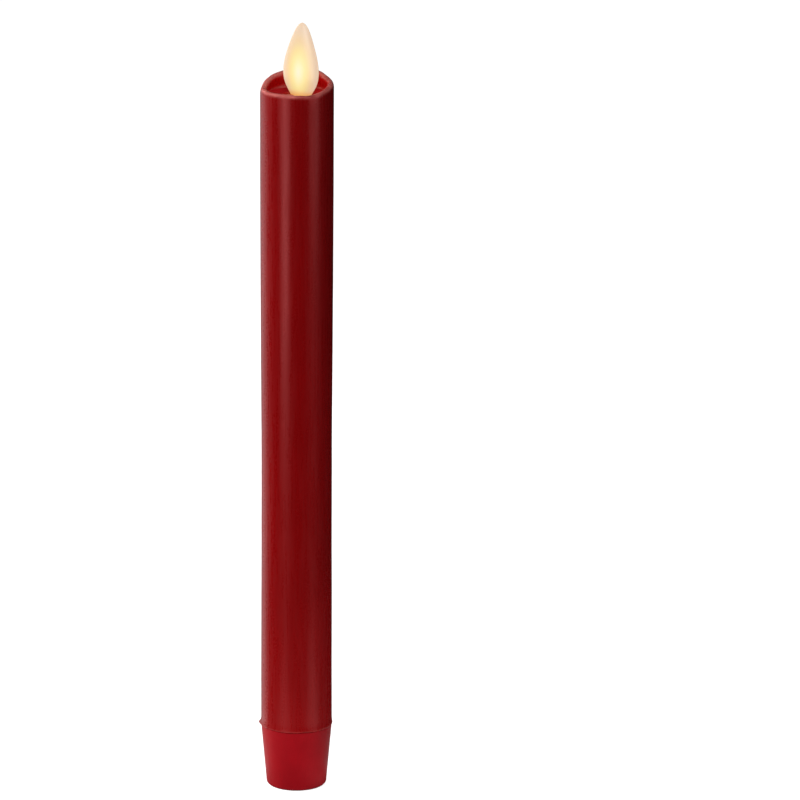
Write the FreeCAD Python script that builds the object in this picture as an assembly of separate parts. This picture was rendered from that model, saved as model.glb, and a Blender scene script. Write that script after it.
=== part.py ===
"""Flameless taper candle: a red wax-covered tube on a twist-off base, with a swinging lit flame.

Units are millimetres. +Z is up, the origin is the centre of the base's foot, and -Y is the side that the LED
lights the flame from. The candle body unscrews from the base, the flame swings on a thin wire above an
electromagnet, and a three-position slide switch is under the foot.
"""

import FreeCAD, Part

import math
import os

V = FreeCAD.Vector
UP = V(0, 0, 1)
ORIGIN = V(0, 0, 0)
BEYOND = 1.0             # how far a cutting shape runs past the faces that it opens
OVERLAP = 0.5            # how far two shapes reach into each other before they are joined
FAR = 20.0               # reach of a half-space block, past the candle's whole radius

# ---------------------------------------------------------------- driving dimensions
BODY_R = 11.4            # wax outside radius
SEAM_Z = 20.0            # where the wax body meets the base
WAX_LENGTH = 204.0       # seam to the nominal rim
BOWL_DEPTH = 2.3         # nominal rim to the bowl floor
FLAME_ABOVE_RIM = 19.6   # nominal rim to the flame's tip

WAX_WALL = 1.35
CORE_WALL = 1.2
PRESS_GAP = 0.05         # radial gap left in glued and pressed joints
SEAM_GAP = 0.1           # axial gap between the base and the candle body

CELL_R = 7.1             # AA cell
CELL_LENGTH = 50.0
CELL_COUNT = 2
CELL_FOOT_Z = 16.0       # underside of the lower cell, on the compressed spring

THREAD_LEAD = 13.0       # rise of the candle body in one turn
THREAD_STARTS = 3
THREAD_TOP_Z = 28.4      # where the neck's lugs sit in the closed position

SWITCH_ON_X = 2.0        # the lever's place when switched on, two millimetres from its middle place

FLAME_Y = 1.8            # plane that the flame swings in
PIVOT_Z = 213.0
WIRE_R = 0.25

# ---------------------------------------------------------------- levels and radii that follow
RIM_Z = SEAM_Z + WAX_LENGTH
FLOOR_Z = RIM_Z - BOWL_DEPTH
FLOOR_T = 1.5
CORE_TOP_Z = FLOOR_Z - FLOOR_T
FLAME_TOP_Z = RIM_Z + FLAME_ABOVE_RIM
CORE_R = BODY_R - WAX_WALL - PRESS_GAP
CORE_BORE_R = CORE_R - CORE_WALL
LINER_R = CORE_BORE_R - 0.2          # outside of the battery tube and of the chassis
CARRIER_GAP = 0.1                    # axial gap between the chassis and the bowl insert
BOWL_R = 9.3                         # inside of the wax rim

COLLAR_TOP_Z = SEAM_Z + 14.0
SPIGOT_TOP_Z = COLLAR_TOP_Z + 6.0
CELLS_TOP_Z = CELL_FOOT_Z + CELL_COUNT * CELL_LENGTH
BATTERY_TUBE_TOP_Z = CELLS_TOP_Z + 6.0
BATTERY_TUBE_R_IN = CELL_R + 0.4

CHASSIS_WALL = 1.2
CHASSIS_R_IN = LINER_R - CHASSIS_WALL
CHASSIS_TOP_Z = CORE_TOP_Z - CARRIER_GAP
FRONT_SHELL_Z = 182.0
SHELF_Z = 186.8
SHELF_T = 1.2
COIL_Z = SHELF_Z + SHELF_T
COIL_HEIGHT = 7.2
COIL_R = 4.8
MAGNET_R = 3.0
MAGNET_HEIGHT = 3.8
MAGNET_Z = COIL_Z + COIL_HEIGHT + 1.6

CUP_FOOT_R = 9.35        # base cup at the foot, before its rounding
CUP_TOP_R = 11.15
CUP_TOP_Z = SEAM_Z - SEAM_GAP
CUP_WALL = 1.5
CUP_FLOOR = 2.0
NECK_R_IN = CELL_R + 0.3
NECK_R = CORE_BORE_R - 0.3
NECK_TOP_Z = SEAM_Z + 12.5
FLANGE_Z = 18.0
FLANGE_R = 9.9

SWITCH_BOARD_Z = 6.6
SWITCH_BOARD_T = 1.0
BOARD_T = 1.0
BOARD_WIDTH = 13.4
BOARD_Z = (133.0, 181.0)

BOARD_FACE_Y = -BOARD_T / 2          # front face of the control board, which carries its parts

STRIP_X = (8.2, 8.5)     # the return strip's inner and outer face
STRIP_WIDTH = 3.0
STRIP_PLAY = 0.15        # room at each side of the strip in its channel

LED_TILT = 28.0          # degrees that the LED leans back towards the flame
LED_SEAT_Z = CORE_TOP_Z - 6.6
LED_FOOT = V(0, -5.4, LED_SEAT_Z - 0.2)
LED_R = 1.5
LED_LENGTH = 5.3
IR_Y = 5.5
IR_LENS_Y = 5.6
IR_BODY_Z = (CORE_TOP_Z - 8.0, CORE_TOP_Z - 2.6)

# The rim rises and falls like melted wax: pairs of cosine and sine heights for 1, 2, 3 and 4 waves round it.
RIM_MEAN = 1.25
RIM_WAVES = [(-0.80, 2.60), (-0.35, -0.10), (0.35, -0.10), (0.15, 0.25)]
SWELL_HEIGHT = 0.60      # a low swell of wax at the front of the rim
SWELL_ANGLE = math.radians(-67)
SWELL_SPREAD = math.radians(38)
LIP_OUTER_ROUND = 1.15
LIP_INNER_ROUND = 0.75

# The flame's outline: height, half width, half thickness, and how far its centre leans to +X and to +Y.
FLAME_SECTIONS = [
    (217.0, 2.20, 0.80, 0.00, 0.00),
    (219.5, 2.70, 0.95, 0.05, 0.05),
    (221.5, 3.70, 1.10, 0.15, 0.10),
    (224.6, 5.55, 1.35, 0.15, 0.20),
    (228.4, 6.30, 1.50, 0.12, 0.30),
    (232.1, 5.85, 1.45, 0.15, 0.40),
    (235.8, 4.75, 1.25, 0.20, 0.50),
    (239.5, 3.35, 0.95, 0.30, 0.60),
    (241.8, 2.20, 0.70, 0.38, 0.66),
    (243.1, 1.15, 0.45, 0.40, 0.70),
    (FLAME_TOP_Z, 0.30, 0.20, 0.40, 0.70),
]


# ---------------------------------------------------------------- shape helpers
def cylinder(radius, z0, z1, x=0.0, y=0.0):
    return Part.makeCylinder(radius, z1 - z0, V(x, y, z0))


def tube(outer, inner, z0, z1, x=0.0, y=0.0):
    return cylinder(outer, z0, z1, x, y).cut(cylinder(inner, z0 - BEYOND, z1 + BEYOND, x, y))


def block(x0, x1, y0, y1, z0, z1):
    return Part.makeBox(x1 - x0, y1 - y0, z1 - z0, V(x0, y0, z0))


def rod(radius, start, end):
    return Part.makeCylinder(radius, (end - start).Length, start, end - start)


def rod_y(radius, x, z, y0, y1):
    return rod(radius, V(x, y0, z), V(x, y1, z))


def join(shapes):
    first, rest = shapes[0], shapes[1:]
    return first.fuse(rest).removeSplitter() if rest else first


def turned(outline):
    """A solid of revolution about Z, from its (radius, height) corners."""
    points = [V(r, 0, z) for r, z in outline]
    face = Part.Face(Part.makePolygon(points + points[:1]))
    return face.revolve(ORIGIN, UP, 360)


def ring_edges(solid, radius, z, tolerance=0.02):
    """The circular edges of that radius at that height."""
    found = []
    for edge in solid.Edges:
        curve = edge.Curve
        if isinstance(curve, Part.Circle) and abs(curve.Radius - radius) < tolerance:
            if abs(curve.Center.z - z) < tolerance:
                found.append(edge)
    return found


def rounded_block(x0, x1, y0, y1, z0, z1, radius):
    """A block whose four upright edges are rounded."""
    solid = block(x0, x1, y0, y1, z0, z1)
    upright = [e for e in solid.Edges if abs(e.Vertexes[0].Z - e.Vertexes[-1].Z) > (z1 - z0) / 2]
    return solid.makeFillet(radius, upright)


def slot_prism(half_length, half_width, z0, z1, y=0.0):
    """A prism with round ends, long in X, centred on x = 0."""
    reach = half_length - half_width
    return join([
        block(-reach, reach, y - half_width, y + half_width, z0, z1),
        cylinder(half_width, z0, z1, -reach, y),
        cylinder(half_width, z0, z1, reach, y),
    ])


def bent_wire(points, radius):
    """A round wire along straight runs joined by tangent arcs, as large as the runs beside them allow."""
    edges, start = [], points[0]
    for before, corner, after in zip(points, points[1:], points[2:]):
        back, ahead = before - corner, after - corner
        trim = 0.45 * min(back.Length, ahead.Length)
        back.normalize()
        ahead.normalize()
        middle = back + ahead
        middle.normalize()
        half = back.getAngle(ahead) / 2
        arc_radius = trim * math.tan(half)
        centre = corner + middle * (arc_radius / math.sin(half))
        enter, leave = corner + back * trim, corner + ahead * trim
        edges.append(Part.LineSegment(start, enter).toShape())
        edges.append(Part.Arc(enter, centre - middle * arc_radius, leave).toShape())
        start = leave
    edges.append(Part.LineSegment(start, points[-1]).toShape())
    section = Part.Wire(Part.Circle(points[0], points[1] - points[0], radius).toShape())
    return Part.Wire(edges).makePipeShell([section], True, True)


def save(name, shape):
    shape.exportStep(os.path.join("parts", name + ".step"))


# ---------------------------------------------------------------- twist-off base
def cup_radius(z):
    """Outside radius of the tapered base cup at that height."""
    return CUP_FOOT_R + (CUP_TOP_R - CUP_FOOT_R) * z / SEAM_Z


SCREW_POST_Y = 6.1
SCREW_POST_R = 1.5
SCREW_POSTS = (-SCREW_POST_Y, SCREW_POST_Y)
KNOB_SLOT = (3.8, 1.45)          # half length and half width of the opening for the switch knob
KNOB_SLOT_CORNER = 0.4
FOOT_RECESS = (5.0, 2.6, 0.6)    # half length, half width and depth of the sunk field round it
FOOT_RECESS_CORNER = 1.2
FOOT_ROUND = 1.2
CUP_LIP_ROUND = 0.2


def base_cup():
    shell = turned([
        (0, 0),
        (CUP_FOOT_R, 0),
        (CUP_TOP_R, CUP_TOP_Z),
        (FLANGE_R + PRESS_GAP, CUP_TOP_Z),
        (FLANGE_R + PRESS_GAP, FLANGE_Z),
        (cup_radius(FLANGE_Z) - CUP_WALL, FLANGE_Z),
        (cup_radius(CUP_FLOOR) - CUP_WALL, CUP_FLOOR),
        (0, CUP_FLOOR),
    ])
    shell = shell.makeFillet(FOOT_ROUND, ring_edges(shell, CUP_FOOT_R, 0))
    shell = shell.makeFillet(CUP_LIP_ROUND, ring_edges(shell, CUP_TOP_R, CUP_TOP_Z))
    pilot_r, pilot_foot = 0.6, CUP_FLOOR + 0.6
    posts = [cylinder(SCREW_POST_R, CUP_FLOOR - OVERLAP, SWITCH_BOARD_Z, 0, y) for y in SCREW_POSTS]
    pilots = [cylinder(pilot_r, pilot_foot, SWITCH_BOARD_Z + BEYOND, 0, y) for y in SCREW_POSTS]
    length, width = KNOB_SLOT
    opening = rounded_block(-length, length, -width, width, -BEYOND, CUP_FLOOR + BEYOND, KNOB_SLOT_CORNER)
    length, width, depth = FOOT_RECESS
    recess = rounded_block(-length, length, -width, width, -BEYOND, depth, FOOT_RECESS_CORNER)
    return join([shell] + posts).cut(pilots + [opening, recess])


FLANK_SLOPE = 0.2                # how far a thread's flank leans in height, each side of its middle


def thread_section(inner, outer, half_height, z):
    """Cross-section of a thread lug or groove, in the XZ plane, with sloped flanks."""
    return Part.makePolygon([
        V(inner, 0, z - half_height - FLANK_SLOPE),
        V(outer, 0, z - half_height + FLANK_SLOPE),
        V(outer, 0, z + half_height - FLANK_SLOPE),
        V(inner, 0, z + half_height + FLANK_SLOPE),
        V(inner, 0, z - half_height - FLANK_SLOPE),
    ])


def thread_turns(inner, outer, half_height, z0, z1):
    """One right-handed helical rib per start, whose middle runs from z0 up to z1."""
    ribs = []
    for start in range(THREAD_STARTS):
        helix = Part.makeHelix(THREAD_LEAD, z1 - z0, inner)
        helix.translate(V(0, 0, z0))
        rib = Part.Wire(helix).makePipeShell([thread_section(inner, outer, half_height, z0)], True, True)
        end_angle = 360.0 * (z1 - THREAD_TOP_Z) / THREAD_LEAD
        turned_by = end_angle - 360.0 * (z1 - z0) / THREAD_LEAD + 360.0 * start / THREAD_STARTS
        rib.rotate(ORIGIN, UP, turned_by)
        ribs.append(rib)
    return ribs


CONTACT_LEG_X = (-7.7, -7.45)    # the base contact's leg, inside the neck wall
CONTACT_LEG_HALF = 1.1           # half of its width
LUG_RISE = 1.3                   # height that a lug gains from end to end
LUG_ROOT = 0.3                   # depth that a lug is rooted in the neck
LUG_REACH = 0.62                 # how far it stands out
LUG_HALF_HEIGHT = 0.7


def threaded_neck():
    neck = tube(NECK_R, NECK_R_IN, FLANGE_Z, NECK_TOP_Z)
    flange = tube(FLANGE_R, NECK_R_IN, FLANGE_Z, CUP_TOP_Z)
    foot, top = THREAD_TOP_Z - LUG_RISE / 2, THREAD_TOP_Z + LUG_RISE / 2
    lugs = thread_turns(NECK_R - LUG_ROOT, NECK_R + LUG_REACH, LUG_HALF_HEIGHT, foot, top)
    half = CONTACT_LEG_HALF + 0.2
    outside, inside = CONTACT_LEG_X[0] - 0.1, OVERLAP - NECK_R_IN
    keyway = block(outside, inside, -half, half, FLANGE_Z - BEYOND, NECK_TOP_Z + BEYOND)
    return join([neck, flange] + lugs).cut(keyway)


def switch_board():
    board_r, hole_r = 7.8, 0.8
    z0, z1 = SWITCH_BOARD_Z, SWITCH_BOARD_Z + SWITCH_BOARD_T
    holes = [cylinder(hole_r, z0 - BEYOND, z1 + BEYOND, 0, y) for y in SCREW_POSTS]
    return cylinder(board_r, z0, z1).cut(holes)


def pan_screw(foot, head_seat, shaft_radius, head_radius, head_height):
    """A pan-head screw from its point at foot to under its head at head_seat, with a cross recess."""
    axis = head_seat - foot
    axis.normalize()
    top = head_seat + axis * head_height
    head = rod(head_radius, head_seat, top)
    rim = [e for e in head.Edges if isinstance(e.Curve, Part.Circle) and (e.Curve.Center - top).Length < 0.01]
    head = head.makeFillet(head_height * 0.45, rim)
    shaft = rod(shaft_radius, foot, head_seat + axis * 0.1)
    slot_length, slot_width = head_radius * 1.3, 0.35
    slot = Part.makeBox(slot_length, slot_width, head_height, V(-slot_length / 2, -slot_width / 2, 0))
    other = slot.copy()
    other.rotate(ORIGIN, UP, 90)
    cross = slot.fuse(other)
    cross.Placement = FreeCAD.Placement(head_seat + axis * head_height * 0.5, FreeCAD.Rotation(UP, axis))
    return join([head, shaft]).cut(cross)


def switch_board_screws():
    foot, seat = CUP_FLOOR + 1.6, SWITCH_BOARD_Z + SWITCH_BOARD_T
    shaft_r, head_r, head_height = 0.55, 1.25, 0.8
    return Part.makeCompound([
        pan_screw(V(0, y, foot), V(0, y, seat), shaft_r, head_r, head_height) for y in SCREW_POSTS
    ])


SWITCH_BODY = (4.3, 2.2, 3.4)    # half length, half width and height of the slide switch's can
SWITCH_GATE = (2.95, 0.85, 1.0)  # half length, half width and depth of the lever's opening in it
LEVER = (0.8, 0.7)               # half length and half width of the lever
LEVER_TIP_Z = 1.5


def slide_switch():
    length, width, height = SWITCH_BODY
    foot = SWITCH_BOARD_Z - height
    can = rounded_block(-length, length, -width, width, foot, SWITCH_BOARD_Z, 0.3)
    length, width, depth = SWITCH_GATE
    return can.cut(block(-length, length, -width, width, foot - BEYOND, foot + depth))


def switch_lever():
    length, width = LEVER
    root_z = SWITCH_BOARD_Z - SWITCH_BODY[2] + 0.5
    return block(SWITCH_ON_X - length, SWITCH_ON_X + length, -width, width, LEVER_TIP_Z, root_z)


def switch_knob():
    """The knob, with grip ribs below, a wide apron that covers the opening, and a pocket for the lever."""
    x, grip_z, head_z = SWITCH_ON_X, 0.5, 0.75
    apron_z = (CUP_FLOOR + 0.12, CUP_FLOOR + 0.8)
    head = rounded_block(x - 1.5, x + 1.5, -1.2, 1.2, head_z, apron_z[0] + 0.08, 0.3)
    apron = rounded_block(x - 5.0, x + 5.0, -2.1, 2.1, apron_z[0], apron_z[1], 0.5)
    grips = [block(x + dx - 0.2, x + dx + 0.2, -1.0, 1.0, grip_z, head_z + 0.15) for dx in (-0.9, 0.0, 0.9)]
    length, width = LEVER[0] + 0.08, LEVER[1] + 0.08
    pocket = block(x - length, x + length, -width, width, LEVER_TIP_Z - 0.1, apron_z[1] + BEYOND)
    return join([head, apron] + grips).cut(pocket)


SPRING_PLATE_T = 0.3
SPRING_WIRE_R = 0.35


def spring_plate():
    plate_r, z = 4.6, SWITCH_BOARD_Z + SWITCH_BOARD_T
    return cylinder(plate_r, z, z + SPRING_PLATE_T)


def battery_spring():
    """A conical spring with a flat turn at each end, wide at the foot."""
    foot = SWITCH_BOARD_Z + SWITCH_BOARD_T + SPRING_PLATE_T + SPRING_WIRE_R + 0.02
    top = CELL_FOOT_Z - SPRING_WIRE_R - 0.05
    wide, narrow, turns, steps, flat = 3.9, 2.0, 6, 12, 0.75
    points = []
    for i in range(turns * steps + 1):
        turn = i / steps
        climb = min(max((turn - flat) / (turns - 2 * flat), 0.0), 1.0)
        radius = wide + (narrow - wide) * turn / turns
        angle = 2 * math.pi * turn
        points.append(V(radius * math.cos(angle), radius * math.sin(angle), foot + (top - foot) * climb))
    path = Part.BSplineCurve()
    path.interpolate(points)
    section = Part.Wire(Part.Circle(points[0], path.tangent(path.FirstParameter)[0], SPRING_WIRE_R).toShape())
    return Part.Wire(path.toShape()).makePipeShell([section], True, True)


def base_contact():
    """A contact ring on top of the neck, with a leg down inside the neck to the switch board."""
    thickness, margin = 0.5, 0.05
    top = NECK_TOP_Z + thickness
    ring = tube(NECK_R - margin, NECK_R_IN + margin, NECK_TOP_Z, top)
    foot, half = SWITCH_BOARD_Z + SWITCH_BOARD_T, CONTACT_LEG_HALF
    leg = block(CONTACT_LEG_X[0], CONTACT_LEG_X[1], -half, half, foot, top)
    return join([ring, leg])


# ---------------------------------------------------------------- cells
def cell(foot_z):
    """An AA cell with its button at the top."""
    shoulder, button_r, button_height, sunk = 1.1, 2.75, 1.5, 0.3
    foot_r, foot_rise, foot_slope = 4.6, 0.35, 0.4
    can_top = foot_z + CELL_LENGTH - button_height
    button_top = foot_z + CELL_LENGTH - 0.02
    can = turned([
        (0, foot_z),
        (foot_r, foot_z),
        (foot_r + foot_slope, foot_z + foot_rise),
        (CELL_R, foot_z + foot_rise),
        (CELL_R, can_top),
        (CELL_R - shoulder, can_top),
        (CELL_R - shoulder, can_top - sunk),
        (button_r, can_top - sunk),
        (button_r, button_top),
        (0, button_top),
    ])
    can = can.makeFillet(0.45, ring_edges(can, CELL_R, can_top))
    can = can.makeFillet(0.3, ring_edges(can, CELL_R, foot_z + foot_rise))
    return can.makeFillet(0.35, ring_edges(can, button_r, button_top))


# ---------------------------------------------------------------- candle body
def rim_height(x, y):
    """Height of the melted rim above the nominal rim, as a smooth function of place."""
    share, angle = math.hypot(x, y) / BODY_R, math.atan2(y, x)
    height = RIM_MEAN
    for n, (cosine, sine) in enumerate(RIM_WAVES, start=1):
        height += share**n * (cosine * math.cos(n * angle) + sine * math.sin(n * angle))
    offset = math.remainder(angle - SWELL_ANGLE, 2 * math.pi) / SWELL_SPREAD
    return height + share * SWELL_HEIGHT * math.exp(-offset**2)


def above_rim():
    """Everything above the wavy rim surface."""
    reach, steps = BODY_R + 1.5, 16
    pitch = 2 * reach / steps
    grid = [
        [V(-reach + i * pitch, -reach + j * pitch, RIM_Z + rim_height(-reach + i * pitch, -reach + j * pitch))
         for j in range(steps + 1)]
        for i in range(steps + 1)
    ]
    surface = Part.BSplineSurface()
    surface.interpolate(grid)
    return surface.toShape().extrude(UP * 20)


def wax_sleeve():
    """The wax coat, thick round the tube and thinner round the bowl, with its melted rim rounded over."""
    above = RIM_Z + 8
    sleeve = join([
        tube(BODY_R, CORE_R + PRESS_GAP, SEAM_Z, CORE_TOP_Z),
        tube(BODY_R, BOWL_R, CORE_TOP_Z, above),
    ]).cut(above_rim())
    for radius, rounding in ((BODY_R, LIP_OUTER_ROUND), (BOWL_R, LIP_INNER_ROUND)):
        crest = [
            e for e in sleeve.Edges
            if e.BoundBox.ZMin > RIM_Z - 2 and abs(e.BoundBox.XMax - radius) < 0.02 and e.BoundBox.ZLength > 1
        ]
        sleeve = sleeve.makeFillet(rounding, crest)
    return sleeve


def core_tube():
    return tube(CORE_R, CORE_BORE_R, COLLAR_TOP_Z, CORE_TOP_Z)


def strip_channel(inner_x, z0, z1):
    """Room for the return strip in a wall."""
    half = STRIP_WIDTH / 2 + STRIP_PLAY
    return block(inner_x, CORE_BORE_R + BEYOND, -half, half, z0, z1)


def threaded_collar():
    """The moulded mouth of the tube, with one internal groove for each lug of the neck."""
    bore_r, ledge_z = CELL_R + 0.5, COLLAR_TOP_Z - 1.0
    mouth = tube(CORE_R, CORE_BORE_R, SEAM_Z, COLLAR_TOP_Z)
    spigot = tube(CORE_BORE_R - PRESS_GAP, bore_r, ledge_z, SPIGOT_TOP_Z)
    ledge = tube(CORE_BORE_R + OVERLAP, bore_r, ledge_z, COLLAR_TOP_Z)
    groove_depth, groove_half_height = 0.6, LUG_HALF_HEIGHT + 0.25
    groove_foot, groove_top = SEAM_Z - 1.6, THREAD_TOP_Z + LUG_RISE / 2 + 0.35
    grooves = thread_turns(
        CORE_BORE_R - 0.4, CORE_BORE_R + groove_depth, groove_half_height, groove_foot, groove_top)
    channel = strip_channel(STRIP_X[0] - 0.1, ledge_z - BEYOND, SPIGOT_TOP_Z + BEYOND)
    keep_wall = tube(CORE_R + BEYOND, CORE_BORE_R, ledge_z - 2 * BEYOND, SPIGOT_TOP_Z + 2 * BEYOND)
    half = STRIP_WIDTH / 2 + STRIP_PLAY
    fold_room = block(0, CORE_BORE_R, -half, half, ledge_z - 0.1, COLLAR_TOP_Z)
    return join([mouth, spigot, ledge]).cut(grooves + [channel.cut(keep_wall), fold_room])


POSITIVE_TAB_Y = (3.0, 3.3)      # front and back face of the positive contact's tab
POSITIVE_TAB_HALF = 1.0


def battery_tube():
    liner = tube(LINER_R, BATTERY_TUBE_R_IN, SPIGOT_TOP_Z, BATTERY_TUBE_TOP_Z)
    wall_z, wall_top = CELLS_TOP_Z + 0.4, CELLS_TOP_Z + 2.4
    end_wall = cylinder(BATTERY_TUBE_R_IN + OVERLAP, wall_z, wall_top)
    channel = strip_channel(STRIP_X[0] - 0.1, SPIGOT_TOP_Z - BEYOND, BATTERY_TUBE_TOP_Z + BEYOND)
    half = POSITIVE_TAB_HALF + 0.3
    front, back = POSITIVE_TAB_Y[0] - 0.4, POSITIVE_TAB_Y[1] + 0.3
    tab_hole = block(-half, half, front, back, wall_z - BEYOND, wall_top + BEYOND)
    return join([liner, end_wall]).cut([channel, tab_hole])


def positive_contact():
    plate_r, plate_z, thickness, tab_height = 5.5, CELLS_TOP_Z + 0.1, 0.3, 4.4
    plate = cylinder(plate_r, plate_z, plate_z + thickness)
    half, (front, back) = POSITIVE_TAB_HALF, POSITIVE_TAB_Y
    return join([plate, block(-half, half, front, back, plate_z, plate_z + tab_height)])


def return_strip():
    """The switched negative's strip: from its folded foot over the base contact to above the battery tube."""
    half, foot, top = STRIP_WIDTH / 2, NECK_TOP_Z + 0.6, BATTERY_TUBE_TOP_Z + 3.0
    thickness = STRIP_X[1] - STRIP_X[0]
    riser = block(STRIP_X[0], STRIP_X[1], -half, half, foot, top)
    fold = block(CELL_R + 0.55, STRIP_X[1], -half, half, foot, foot + thickness)
    return join([riser, fold])


FLAME_SLOT = (5.7, 1.7)          # half length and half width of the slot that the flame comes out of
LED_WINDOW_R = 2.3
LED_WINDOW_Y = -1.9
IR_HOLE_R = 1.35
FLOOR_EDGE_RISE = 0.5            # how far the bowl floor climbs at the wall
FLOOR_DISH = 0.15                # how far its middle is sunk
FLOOR_OPENING_ROUND = 0.35


def bowl_insert():
    """The dished floor of the bowl, open for the flame, the LED and the receiver, over a centring ring."""
    rim_r = BOWL_R - PRESS_GAP
    disc = turned([
        (0, CORE_TOP_Z),
        (rim_r, CORE_TOP_Z),
        (rim_r, FLOOR_Z + FLOOR_EDGE_RISE),
        (rim_r - 1.2, FLOOR_Z + 0.1),
        (rim_r - 2.6, FLOOR_Z - FLOOR_DISH),
        (0, FLOOR_Z - FLOOR_DISH),
    ])
    ring_r = CHASSIS_R_IN - 0.1
    centring = tube(ring_r, ring_r - 0.5, CORE_TOP_Z - 1.6, CORE_TOP_Z + 0.2)
    z0, z1 = CORE_TOP_Z - BEYOND, FLOOR_Z + BEYOND
    openings = [
        slot_prism(FLAME_SLOT[0], FLAME_SLOT[1], z0, z1, FLAME_Y),
        cylinder(LED_WINDOW_R, z0, z1, 0, LED_WINDOW_Y),
        cylinder(IR_HOLE_R, z0, z1, 0, IR_LENS_Y),
    ]
    solid = join([disc, centring]).cut(openings)
    middle_z = FLOOR_Z - FLOOR_DISH
    inner_r = rim_r - 2.7
    edges = [e for e in solid.Edges if e.BoundBox.ZMin > middle_z - 0.01 and e.BoundBox.XMax < inner_r]
    return solid.makeFillet(FLOOR_OPENING_ROUND, edges)


# ---------------------------------------------------------------- chassis and electronics
SHELL_SCREWS = [(x, z) for z in (184.6, 208.5) for x in (-5.9, 5.9)]
SHELL_SCREW_SEAT_Y = -3.5
SHELL_SCREW_TIP_Y = 5.0
SHELL_BOSS_R = 1.4
BOARD_SCREW_Z = (142.0, 172.0)
BOARD_SCREW_TIP_Y = 4.6
SHELL_SPLIT = 0.01               # half of the gap between the two shells
SHELL_BORE = CHASSIS_R_IN + 0.3  # radius that inner walls reach, a little into the shells
WIRE_RIB_Z = (PIVOT_Z - 1.4, PIVOT_Z + 1.4)
WIRE_RIB_T = 0.8
WIRE_Y = (-0.4, 4.0)             # ends of the pivot wire, each in a rib
WIRE_HOLE_R = WIRE_R + 0.02
SHELF_TOP = COIL_Z + BEYOND
COIL_LEAD_X = (-2.0, 2.0)
COIL_LEAD_Y = -4.0


def within_chassis(shape):
    return shape.common(cylinder(LINER_R, BATTERY_TUBE_TOP_Z, CHASSIS_TOP_Z))


def in_front(shape):
    return shape.common(block(-FAR, FAR, -FAR, FLAME_Y - SHELL_SPLIT, 0, FLAME_TOP_Z))


def behind(shape):
    return shape.common(block(-FAR, FAR, FLAME_Y + SHELL_SPLIT, FAR, 0, FLAME_TOP_Z))


def slice_y(radius, y0, y1, z0, z1):
    """The part of a disc between two upright planes."""
    return cylinder(radius, z0, z1).common(block(-FAR, FAR, y0, y1, z0, z1))


def shelf_notches():
    """Openings in the coil shelf for the leads of the LED, the receiver and the coil."""
    z0 = SHELF_Z - BEYOND
    led_notch = block(-1.3, 1.3, -7.2, -5.4, z0, SHELF_TOP)
    receiver_notch = block(-2.0, 2.0, 6.4, 7.35, z0, SHELF_TOP)
    lead_hole_r = 0.6
    return [led_notch, receiver_notch] + [
        cylinder(lead_hole_r, z0, SHELF_TOP, x, COIL_LEAD_Y) for x in COIL_LEAD_X
    ]


def chassis_front():
    """The front shell, with the coil shelf, the LED's ledge, the wire's front rib and four screw bosses."""
    wall = in_front(tube(LINER_R, CHASSIS_R_IN, FRONT_SHELL_Z, CHASSIS_TOP_Z))
    shelf = in_front(cylinder(SHELL_BORE, SHELF_Z, COIL_Z))
    outside = -LINER_R - BEYOND
    bosses = [in_front(within_chassis(rod_y(SHELL_BOSS_R, x, z, outside, FLAME_Y))) for x, z in SHELL_SCREWS]
    wire_rib = slice_y(SHELL_BORE, WIRE_Y[0], WIRE_Y[0] + WIRE_RIB_T, *WIRE_RIB_Z)
    ledge_z = LED_SEAT_Z - 1.0
    ledge = slice_y(SHELL_BORE, outside, WIRE_Y[0], ledge_z, LED_SEAT_Z)
    ledge = ledge.cut(block(-2.3, 2.3, -7.3, -2.6, ledge_z, LED_SEAT_Z))
    shaft_r, head_room_r = 0.85, 1.32
    shafts = [rod_y(shaft_r, x, z, outside, FLAME_Y + BEYOND) for x, z in SHELL_SCREWS]
    head_room = [rod_y(head_room_r, x, z, outside, SHELL_SCREW_SEAT_Y) for x, z in SHELL_SCREWS]
    wire_hole = rod_y(WIRE_HOLE_R, 0, PIVOT_Z, WIRE_Y[0] - BEYOND, FLAME_Y)
    solid = join([wall, shelf, wire_rib, ledge] + bosses)
    return solid.cut(shafts + head_room + shelf_notches() + [wire_hole])


def chassis_back():
    """The back shell, with its half of the shelf, the coil's peg, the wire's back rib and board posts."""
    wall = behind(tube(LINER_R, CHASSIS_R_IN, BATTERY_TUBE_TOP_Z, CHASSIS_TOP_Z))
    shelf = behind(cylinder(SHELL_BORE, SHELF_Z, COIL_Z))
    outside = LINER_R + BEYOND
    bosses = [behind(within_chassis(rod_y(SHELL_BOSS_R, x, z, FLAME_Y, outside))) for x, z in SHELL_SCREWS]
    wire_rib = slice_y(SHELL_BORE, WIRE_Y[1] - WIRE_RIB_T, WIRE_Y[1], *WIRE_RIB_Z)
    post_r, thread_hole_r, hole_end_y = 1.7, 0.8, SHELL_SCREW_TIP_Y + 0.3
    posts = [rod_y(post_r, 0, z, BOARD_T / 2, SHELL_BORE + 0.1) for z in BOARD_SCREW_Z]
    peg_r, peg_height = 1.1, 2.5
    peg = cylinder(peg_r, COIL_Z - OVERLAP, COIL_Z + peg_height, 0, FLAME_Y)
    peg = peg.cut(block(-FAR, FAR, -FAR, FLAME_Y + SHELL_SPLIT, 0, COIL_Z))
    shafts = [rod_y(thread_hole_r, x, z, 0, hole_end_y) for x, z in SHELL_SCREWS]
    board_shafts = [rod_y(thread_hole_r, 0, z, 0, BOARD_SCREW_TIP_Y + 0.4) for z in BOARD_SCREW_Z]
    wire_hole = rod_y(WIRE_HOLE_R, 0, PIVOT_Z, FLAME_Y, WIRE_Y[1] + BEYOND)
    solid = join([wall, shelf, wire_rib, peg] + bosses + posts)
    return solid.cut(shafts + board_shafts + shelf_notches() + [wire_hole])


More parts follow.
